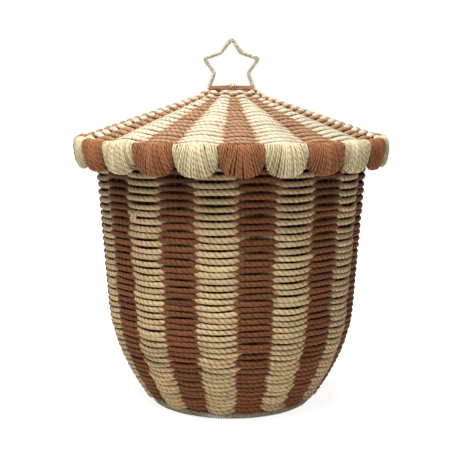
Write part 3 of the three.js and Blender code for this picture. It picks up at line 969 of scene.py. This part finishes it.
@dataclass(frozen=True)
class Whipping:
    """Fine cord wound along a wire, one turn for each pitch, with slow waves that make it uneven."""

    reach: float
    cord_half: float
    pitch: float
    steps: int = 12
    slip: float = 0.35
    slip_waves: tuple[float, ...] = (11.0, 23.0, 47.0)
    swell: float = 0.05
    swell_wave: float = 7.3
    tone_spread: float = 0.05
    flank_shade: float = 0.2
    hoop_points: int = 721
    ball_points: int = 41

    def wind(
        self,
        mesh: CordMesh,
        line: Array,
        first: Array,
        rng: np.random.Generator,
        extra: Array | float = 0.0,
    ) -> None:
        """Winds the cord along a line.

        Args:
            mesh: the mesh to add to.
            line: points along the middle of the wire.
            first: a direction square to the line at each point, where the winding starts.
            rng: the source of unevenness.
            extra: what the reach gains at each point, for a lump or a ball.
        """
        distance = run_length(line)
        length = distance[-1]
        turns = length / self.pitch
        place = np.linspace(0.0, length, math.ceil(turns * self.steps) + 1)
        angle = TAU * place / self.pitch
        for waves in self.slip_waves:
            angle = angle + self.slip * np.sin(waves * math.pi * place / length + rng.uniform(0.0, TAU))
        second = np.cross(first, unit(np.gradient(line, axis=0)))
        middle, towards, beside = (
            np.stack([np.interp(place, distance, values[:, axis]) for axis in range(3)], axis=1)
            for values in (line, first, second)
        )
        outward = unit(np.cos(angle)[:, None] * towards + np.sin(angle)[:, None] * beside)
        reach = self.reach + np.interp(place, distance, np.broadcast_to(extra, distance.shape))
        swell = self.swell * np.sin(place / self.swell_wave + rng.uniform(0.0, TAU))
        half = self.cord_half * (1.0 + swell)
        tone = uneven(rng, place / self.pitch, math.ceil(turns), self.tone_spread)
        tone = tone[:, None] - FINE.flank_shade(self.flank_shade)
        mesh.add_run(middle + outward * reach[:, None], outward, half, half, FINE, tone)

    def wind_ball(
        self, mesh: CordMesh, middle: Array, axis: Array, radius: float, rng: np.random.Generator
    ) -> None:
        """Winds the cord into a ball.

        Args:
            mesh: the mesh to add to.
            middle: the ball's middle.
            axis: the direction that the winding moves along, square to the front.
            radius: the ball's radius.
            rng: the source of unevenness.
        """
        place = np.linspace(-1.0, 1.0, self.ball_points) * (radius - self.cord_half)
        line = middle + place[:, None] * axis
        extra = np.sqrt(radius**2 - place**2) - self.cord_half - self.reach
        self.wind(mesh, line, np.broadcast_to(FRONT, line.shape), rng, extra)

    def wind_hoop(
        self, mesh: CordMesh, radius: float, height: float, rng: np.random.Generator, tilt: float = 0.0
    ) -> None:
        """Winds the cord once round a hoop.

        Args:
            mesh: the mesh to add to.
            radius: the hoop's radius.
            height: the hoop's height.
            rng: the source of unevenness.
            tilt: how far the hoop's front stands above its middle.
        """
        angle = np.linspace(0.0, TAU, self.hoop_points)
        line = polar(radius, angle, height + tilt * np.cos(angle))
        self.wind(mesh, line, polar(1.0, angle, np.zeros_like(angle)), rng)


@dataclass
class BasketHoops(Assembly):
    """The base hoop that the basket stands on and the rim hoop under the lid, bound with fine cord."""

    body = Body.BASKET
    base: Whipping = Whipping(reach=2.65, cord_half=1.4, pitch=3.1, flank_shade=0.42)
    rim: Whipping = Whipping(reach=3.9, cord_half=1.05, pitch=2.4)
    seed: int = 61

    def build(self) -> None:
        """Builds one piece for each hoop."""
        rng = np.random.default_rng(self.seed)
        base, rim = CordMesh(), CordMesh()
        self.base.wind_hoop(base, self.shape.base_radius, self.shape.base_height, rng)
        self.rim.wind_hoop(rim, self.shape.rim_radius, self.shape.rim_height, rng)
        self.hand_in(base, BASE_CREAM_PAINTED_LIGHT, "base_whipping", "base_hoop")
        self.hand_in(rim, RIM_CREAM, "rim_whipping", "rim_binding")


@dataclass
class BasketFloor(Assembly):
    """The floor: a cord laid round and round, waved as it would be over floor wires."""

    body = Body.BASKET
    outer: float = 94.0
    eye: float = 3.4
    pitch: float = 6.4
    half: float = 2.55
    flatness: float = 1.15
    wave: float = 0.85
    waves: int = 11
    wave_growth: float = 3.0
    ring_step: float = 1.9

    def build(self) -> None:
        """Lays a spiral from the middle outwards, at even steps along it."""
        turn = spiral_turns(self.eye, self.outer, self.pitch, self.ring_step)
        angle = TAU * turn
        grown = np.minimum(1.0, self.wave_growth * turn / turn[-1])
        lift = self.wave * np.cos(self.waves * angle + math.pi * np.floor(turn)) * grown
        centre = polar(self.eye + self.pitch * turn, angle, self.shape.base_height + lift)
        mesh = CordMesh()
        mesh.add_run(centre, np.broadcast_to(UP, centre.shape), self.half, self.flatness * self.half, STOUT)
        self.hand_in(mesh, WALL_FINISH[Stripe.CREAM], "floor_cord", "floor_weave")


@dataclass
class LidWeave(Assembly):
    """The lid's cone: two cords that chase each other round the spokes, from the crown to the edge."""

    first_turn: float = -0.35
    start: float = 2.6
    end: float = 170.0
    pitch: float = 10.2
    swing: tuple[float, float] = (1.4, 3.2)
    half_out: float = 2.6
    cross_half: float = 3.5
    row_half: float = 4.5
    inner_half: float = 6.6
    least_size: float = 0.82
    full_size_share: float = 0.5
    crown_rise: float = 4.0
    crown_reach: float = 9.0
    crown_crowding: float = 0.4
    crowded_turns: float = 0.8
    wander: float = 0.35
    wander_rates: tuple[float, ...] = (1.37, 2.71, 4.13)
    pass_drift: float = 0.4
    tone_spread: float = 0.05
    terracotta_shade: float = 0.35
    ring_step: float = 1.65
    line_points: int = 50
    samples: int = 40000
    seed: int = 23

    def __post_init__(self) -> None:
        """Works out the cone's line, from the crown down to the lid hoop."""
        shape = self.shape
        self.line = ProfileLine(
            np.linspace(shape.crown_radius, shape.lid_radius, self.line_points),
            np.linspace(shape.cone_height, shape.lid_height, self.line_points),
        )

    def turn_range(self, stripe: Stripe) -> tuple[float, float]:
        """The turn counts at which a cord starts and ends."""
        first = self.first_turn + stripe.lag
        return first, first + self.crown_crowding + (self.end - self.start) / self.pitch

    def path(self, turn: Array, stripe: Stripe) -> tuple[Array, ...]:
        """How a cord lies.

        The middle is the cone's line moved out by the swing times the cosine of the place between
        spokes. The swing and the cord's size shrink a little towards the crown.

        Args:
            turn: turn counts along the cord.
            stripe: the cord's colour.

        Returns:
            The middle points, the outward directions, half_out, half_across and the tone.
        """
        shape = self.shape
        first, last = self.turn_range(stripe)
        rng = np.random.default_rng(self.seed + (1 if stripe is Stripe.CREAM else 0))
        passes_round = shape.spokes / 2.0
        angle = TAU * turn
        own = -stripe.sign * np.cos((angle - shape.sector_turn) * passes_round)
        count = (turn - first) * passes_round
        passes = math.ceil((last - first) * passes_round)
        waves = zip(self.wander_rates, rng.uniform(0.0, TAU, len(self.wander_rates)))
        drift = sum(np.sin(rate * angle + phase) for rate, phase in waves)
        crowding = self.crown_crowding * (1.0 - np.exp(-(turn - first) / self.crowded_turns))
        distance = self.start + self.pitch * (turn - first - crowding) + self.wander * drift
        distance = distance + uneven(rng, count, passes, self.pass_drift)
        radius = self.line.at(distance, self.line.radius)
        share = (radius - shape.crown_radius) / (shape.lid_radius - shape.crown_radius)
        rise = self.crown_rise + shape.crown_tilt * np.cos(angle)
        out = between(share, *self.swing) * own + rise * np.exp(-((distance / self.crown_reach) ** 2))
        centre, inward = self.line.place(distance, angle, -out), self.line.outward(distance, angle)
        size = between(np.minimum(1.0, share / self.full_size_share), self.least_size, 1.0)
        widest = np.where(own > 0.0, self.row_half, self.inner_half)
        half_across = between(own**2, self.cross_half, widest) * size
        tone = uneven(rng, count, passes, self.tone_spread)
        return centre, -inward, self.half_out * size, half_across, tone

    def build(self) -> None:
        """Builds one piece for each cord, in even steps along it."""
        for stripe in Stripe:
            dense = np.linspace(*self.turn_range(stripe), self.samples)
            turn = even_places(dense, self.path(dense, stripe)[0], self.ring_step)
            *run, tone = self.path(turn, stripe)
            shade = STOUT.flank_shade(0.0 if stripe is Stripe.CREAM else self.terracotta_shade)
            mesh = CordMesh()
            mesh.add_run(*run, STOUT, tone[:, None] - shade)
            self.hand_in(mesh, PAINTED_LIGHT_LID_FINISH[stripe], f"lid_cord_{stripe.value}", f"lid_weave_{stripe.value}")


@dataclass
class Scallops(Assembly):
    """The lid's edge: fine cord wound over the lid hoop and a U-shaped wire, fanned along the U."""

    half_width: float = 22.2
    depth: float = 27.5
    squareness: float = 0.65
    strands: int = 21
    strand_half: float = 1.4
    low_swell: float = 0.45
    top_half_width: float = 24.6
    top_gather: float = 1.3
    top_rise: float = 5.2
    cover: float = 2.5
    reach: float = math.radians(80.0)
    fan: float = 1.1
    front: float = 7.2
    back: float = 5.0
    roundness: float = 0.75
    top_heavy: float = 0.18
    side_fall: float = 0.18
    side_power: int = 3
    clumping: float = 0.025
    slip: float = 0.3
    puff_spread: float = 0.06
    tone_spread: float = 0.1
    flank_shade: float = 0.55
    # painted light at the top of each loop and painted shade towards its bottom
    painted_top_light: float = 0.3
    ring_step: float = 2.1
    edge_points: int = 801
    strand_samples: int = 80
    seed: int = 37

    def __post_init__(self) -> None:
        """Works out the strands' lowest places across and up, along the U."""
        turn = np.linspace(-self.reach, self.reach, self.edge_points)
        sine, cosine = np.sin(turn), np.cos(turn)
        across = self.half_width * signed_power(sine, self.squareness)
        up = -self.depth * signed_power(cosine, self.squareness)
        normal_across = signed_power(sine, 2.0 - self.squareness) / self.half_width
        normal_up = -signed_power(cosine, 2.0 - self.squareness) / self.depth
        length = np.hypot(normal_across, normal_up)
        self.edge_across = across + self.cover * normal_across / length
        self.edge_up = up + self.cover * normal_up / length
        distance = run_length(np.stack((self.edge_across, self.edge_up), axis=1))
        self.edge_share = distance / distance[-1] * 2.0 - 1.0

    @staticmethod
    def down(loop: Array) -> Array:
        """How far down a strand is, from 0 at the top of its loop to 1 on the U."""
        return (1.0 - np.cos(TAU * loop)) / 2.0

    def strand_path(self, loop: Array, rng: np.random.Generator) -> Array:
        """The winding's middle as (across, outwards, up) from the lid hoop.

        Each loop is a flattened oval: up and across go from the top edge down to the U and back, and
        outwards goes with the sine of the turn, raised to a power that rounds it.

        Args:
            loop: loop counts along the winding.
            rng: the source of unevenness.

        Returns:
            The points.
        """
        middle = loop / self.strands * 2.0 - 1.0
        share = middle + uneven(rng, loop, self.strands, self.clumping)
        gathered = signed_power(middle, self.top_gather)
        top = gathered * self.top_half_width + uneven(rng, loop, self.strands, self.slip)
        puff = 1.0 - self.side_fall * np.abs(middle) ** self.side_power
        puff = puff + uneven(rng, loop, self.strands, self.puff_spread)
        top_up = self.top_rise + uneven(rng, loop, self.strands, self.slip)
        down = self.down(loop)
        across = between(down**self.fan, top, np.interp(share, self.edge_share, self.edge_across))
        up = between(down, top_up, np.interp(share, self.edge_share, self.edge_up))
        angle = TAU * loop
        swell = signed_power(np.sin(angle), self.roundness) * (1.0 + self.top_heavy * np.cos(angle))
        outwards = np.where(swell > 0.0, self.front, self.back) * puff * swell
        return np.stack((across, outwards, up), axis=1)

    def build_one(self, index: int) -> None:
        """Builds one scallop's winding as one unbroken cord.

        Args:
            index: the scallop's number round the edge.
        """
        shape = self.shape
        stripe = Stripe.TERRACOTTA if index % 2 == 0 else Stripe.CREAM
        seed = self.seed + index
        dense = np.linspace(0.0, float(self.strands), self.strands * self.strand_samples + 1)
        loop = even_places(dense, self.strand_path(dense, np.random.default_rng(seed)), self.ring_step)
        rng = np.random.default_rng(seed)
        path = self.strand_path(loop, rng)
        angle = shape.sector_turn + TAU * index / shape.spokes + path[:, 0] / shape.lid_radius
        centre = polar(shape.lid_radius + path[:, 1], angle, shape.lid_height + path[:, 2])
        across = polar(1.0, angle + math.pi / 2.0, np.zeros_like(angle))
        outward = unit(np.cross(across, np.gradient(centre, axis=0)))
        outward = outward * np.sign(np.sum(outward * (centre - centre.mean(axis=0)), axis=1, keepdims=True))
        tone = rng.normal(0.0, self.tone_spread, self.strands + 1)[np.floor(loop).astype(int)]
        down = self.down(loop)
        # painted light and shade: each loop is lighter at its top and darker down on the U, as light falls
        # from above; the flanks get painted shade between strands
        tone = (tone + self.painted_top_light * (0.5 - down))[:, None] - FINE.flank_shade(self.flank_shade)
        half = self.strand_half * (1.0 + self.low_swell * down)
        mesh = CordMesh()
        mesh.add_run(centre, outward, half, half, FINE, tone)
        number = f"{stripe.value}_{index // 2 + 1:02d}"
        self.hand_in(mesh, SCALLOP_FINISH[stripe], f"scallop_winding_{number}", f"scallop_{number}")

    def build(self) -> None:
        """Builds every scallop."""
        for index in range(self.shape.spokes):
            self.build_one(index)


@dataclass
class StarHandle(Assembly):
    """The star of bent wire bound with cord, its two lower tips spread to stand on the crown hoop.

    Its corners are numbered to the right from the top, tips even and dents odd. A lump is given by a
    corner and its share of the way to the corner before.
    """

    over: Whipping = Whipping(reach=1.9, cord_half=0.85, pitch=1.95, steps=10, slip=0.6, tone_spread=0.09)
    under: Whipping = Whipping(reach=1.3, cord_half=0.95, pitch=2.6)
    knot: Whipping = Whipping(reach=1.0, cord_half=1.25, pitch=1.7)
    corners: int = 10
    feet: tuple[int, int] = (4, 6)
    bottom: int = 5
    over_corners: tuple[int, ...] = (4, 3, 2, 1, 0, 9, 8, 7, 6)
    under_corners: tuple[int, ...] = (6, 5, 4)
    lumps: tuple[tuple[int, float], ...] = ((1, 0.12), (0, 0.25), (2, 0.1))
    lump_rise: float = 1.1
    lump_length: float = 2.6
    bend_points: int = 9
    run_points: int = 400
    seed: int = 53

    def corner(self, index: int) -> Array:
        """A corner of the star.

        Args:
            index: the corner's number.

        Returns:
            Its place in (across, up).
        """
        shape = self.shape
        if index in self.feet:
            return np.array([math.copysign(shape.crown_radius, self.bottom - index), shape.foot_height])
        if index == self.bottom:
            return np.array([0.0, shape.foot_height + shape.star_bottom])
        turn = TAU * index / self.corners
        radius = shape.star_tip if index % 2 == 0 else shape.star_dent
        height = shape.crown_height + shape.star_centre + radius * math.cos(turn)
        return np.array([radius * math.sin(turn), height])

    def rounded(self, corners: list[Array]) -> Array:
        """A line through corners, each inner one rounded into a short curve.

        Args:
            corners: the corners in (across, up).

        Returns:
            The line's points in (across, up).
        """
        share = np.linspace(0.0, 1.0, self.bend_points)[:, None]
        runs = [corners[0][None, :]]
        for before, here, after in zip(corners[:-2], corners[1:-1], corners[2:]):
            arriving = here + (before - here) * self.shape.star_bend / np.linalg.norm(before - here)
            leaving = here + (after - here) * self.shape.star_bend / np.linalg.norm(after - here)
            runs.append(bent(share, arriving, here, leaving))
        runs.append(corners[-1][None, :])
        return np.concatenate(runs)

    def run(self, indices: tuple[int, ...]) -> tuple[Array, Array]:
        """A run of the star.

        Args:
            indices: the numbers of the corners that it passes.

        Returns:
            Even points along it, and a direction square to it at each.
        """
        flat = self.rounded([self.corner(index) for index in indices])
        distance = run_length(flat)
        even = np.linspace(0.0, distance[-1], self.run_points)
        across, up = (np.interp(even, distance, flat[:, axis]) for axis in range(2))
        line = np.stack((across, np.zeros_like(across), up), axis=1)
        return line, np.cross(BACK, unit(np.gradient(line, axis=0)))

    def lump_extra(self, line: Array) -> Array:
        """What the winding gains where cord ends were tied off.

        Args:
            line: points along the middle of the wire.

        Returns:
            The gain at each point.
        """
        extra = np.zeros(len(line))
        for index, share in self.lumps:
            middle = between(share, self.corner(index), self.corner((index - 1) % self.corners))
            away = np.hypot(line[:, 0] - middle[0], line[:, 2] - middle[1])
            extra = extra + self.lump_rise * np.exp(-((away / self.lump_length) ** 2))
        return extra

    def build(self) -> None:
        """Binds the run over the top, the run along the bottom, and the knot at its middle."""
        shape = self.shape
        rng = np.random.default_rng(self.seed)
        over, under, knot = CordMesh(), CordMesh(), CordMesh()
        line, first = self.run(self.over_corners)
        self.over.wind(over, line, first, rng, self.lump_extra(line))
        self.under.wind(under, *self.run(self.under_corners), rng)
        middle = np.array([0.0, 0.0, shape.foot_height + shape.star_bottom + shape.knot_lift])
        self.knot.wind_ball(knot, middle, np.array(RIGHT), shape.knot_radius, rng)
        self.hand_in(over, STAR_CREAM, "star_whipping", "star_binding")
        self.hand_in(under, CROWN_TERRACOTTA, "star_foot_whipping", "star_foot_binding")
        self.hand_in(knot, STAR_CREAM, "star_knot_winding", "star_knot")


@dataclass
class Crown(Assembly):
    """The crown hoop with the ties that hold the star's feet, and the cord coiled flat inside it."""

    hoop: Whipping = Whipping(reach=1.35, cord_half=0.9, pitch=2.5)
    hoop_lift: float = 0.7
    tie: Whipping = Whipping(reach=1.0, cord_half=1.15, pitch=2.5)
    tie_drop: float = 3.2
    coil_outer: float = 25.0
    coil_eye: float = 3.9
    coil_pitch: float = 5.4
    ring_step: float = 1.6
    seed: int = 71

    def build(self) -> None:
        """Builds the bound hoop with its two ties as one piece, and the coil as another."""
        shape = self.shape
        rng = np.random.default_rng(self.seed)
        hoop, coil = CordMesh(), CordMesh()
        height = shape.crown_height + self.hoop_lift
        self.hoop.wind_hoop(hoop, shape.crown_radius, height, rng, shape.crown_tilt)
        for side in (-1.0, 1.0):
            across = side * (shape.crown_radius - shape.tie_inset)
            middle = np.array([across, 0.0, shape.foot_height - self.tie_drop])
            self.tie.wind_ball(hoop, middle, np.array(UP), shape.tie_radius - self.tie_drop / 2.0, rng)
        turn = spiral_turns(self.coil_eye, self.coil_outer, self.coil_pitch, self.ring_step)
        centre = polar(self.coil_eye + self.coil_pitch * turn, TAU * turn, shape.coil_height)
        coil.add_run(centre, np.broadcast_to(UP, centre.shape), shape.coil_cord, shape.coil_cord, STOUT)
        self.hand_in(hoop, CROWN_TERRACOTTA, "crown_whipping", "crown_hoop")
        self.hand_in(coil, PAINTED_LIGHT_LID_FINISH[Stripe.TERRACOTTA], "crown_coil_cord", "crown_coil")


@dataclass(frozen=True)
class Lamp:
    """A square soft lamp."""

    name: str
    place: tuple[float, float, float]
    size: float
    power: float


@dataclass
class Studio:
    """The camera, the floor and the light, in metres."""

    distance: float = 1.29
    camera_height: float = 0.415
    camera_side: float = -0.0015
    pitch: float = math.radians(-8.55)
    lens: float = 78.26
    sensor: float = 36.0
    surround: float = 0.045
    aim: tuple[float, float, float] = (0.0, 0.0, 0.25)
    floor_half: float = 6.0
    lamps: tuple[Lamp, ...] = (
        Lamp("key", (-0.3, -0.85, 2.2), 0.8, 52.0),
        Lamp("top", (0.0, 0.1, 2.3), 1.2, 12.0),
        Lamp("fill", (-0.2, -1.7, 0.2), 0.36, 3.0),
    )

    def camera(self) -> None:
        """A camera at the photograph's viewing angle."""
        data = bpy.data.cameras.new("camera")
        data.lens = self.lens
        data.sensor_width = self.sensor
        made = link_object("camera", data)
        made.location = (self.camera_side, -self.distance, self.camera_height)
        made.rotation_euler = (math.pi / 2.0 + self.pitch, 0.0, 0.0)
        bpy.context.scene.camera = made

    def light(self, lamp: Lamp) -> None:
        """Places a lamp so that it points at the middle of the basket.

        Args:
            lamp: the lamp.
        """
        data = bpy.data.lights.new(lamp.name, "AREA")
        data.size = lamp.size
        data.energy = lamp.power
        made = link_object(lamp.name, data)
        made.location = lamp.place
        aim = np.array(self.aim) - np.array(lamp.place)
        tip = math.acos(-aim[2] / np.linalg.norm(aim))
        made.rotation_euler = (tip, 0.0, math.atan2(aim[1], aim[0]) - math.pi / 2.0)

    def world(self) -> None:
        """A soft white surround, plain white to the camera."""
        world = bpy.data.worlds.new("surround")
        world.use_nodes = True
        bpy.context.scene.world = world
        sheet = NodeSheet(world.node_tree)
        strength = sheet.spread(sheet.seen(), self.surround, 1.0)
        sheet.feed(world.node_tree.nodes["Background"], {"Color": WHITE, "Strength": strength})

    def floor(self, material: Material) -> None:
        """A wide pale floor under the basket.

        Args:
            material: the floor's material.
        """
        half = self.floor_half
        mesh = bpy.data.meshes.new("floor")
        corners = [(-half, -half, 0.0), (half, -half, 0.0), (half, half, 0.0), (-half, half, 0.0)]
        mesh.from_pydata(corners, [], [(0, 1, 2, 3)])
        mesh.materials.append(material)
        made = link_object("floor", mesh)

    def build(self, materials: Materials) -> None:
        """Sets up the view and the light.

        Args:
            materials: the finishes.
        """
        bpy.context.scene.view_settings.view_transform = "Standard"
        self.camera()
        self.world()
        self.floor(materials.floor(FloorFinish()))
        for lamp in self.lamps:
            self.light(lamp)


def dress_wires(nodes: dict[str, bpy.types.Object], material: Material) -> None:
    """Gives the welded frames and the star's wire their finish.

    Args:
        nodes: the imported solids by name.
        material: the wire's material.
    """
    for name in ("basket_frame", "lid_frame", "star_wire"):
        slots = nodes[name].data.materials
        slots.clear()
        slots.append(material)


def main() -> None:
    """Builds the basket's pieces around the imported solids, in order."""
    logging.basicConfig(level=logging.INFO, format="%(message)s")
    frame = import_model()
    shape = Shape()
    materials = Materials()
    Studio().build(materials)
    dress_wires(frame["nodes"], materials.wire(WireFinish()))
    for assembly in (BasketWall, BasketHoops, BasketFloor, LidWeave, Scallops, Crown, StarHandle):
        assembly(shape, materials).build()


if __name__ == "__main__":
    main()
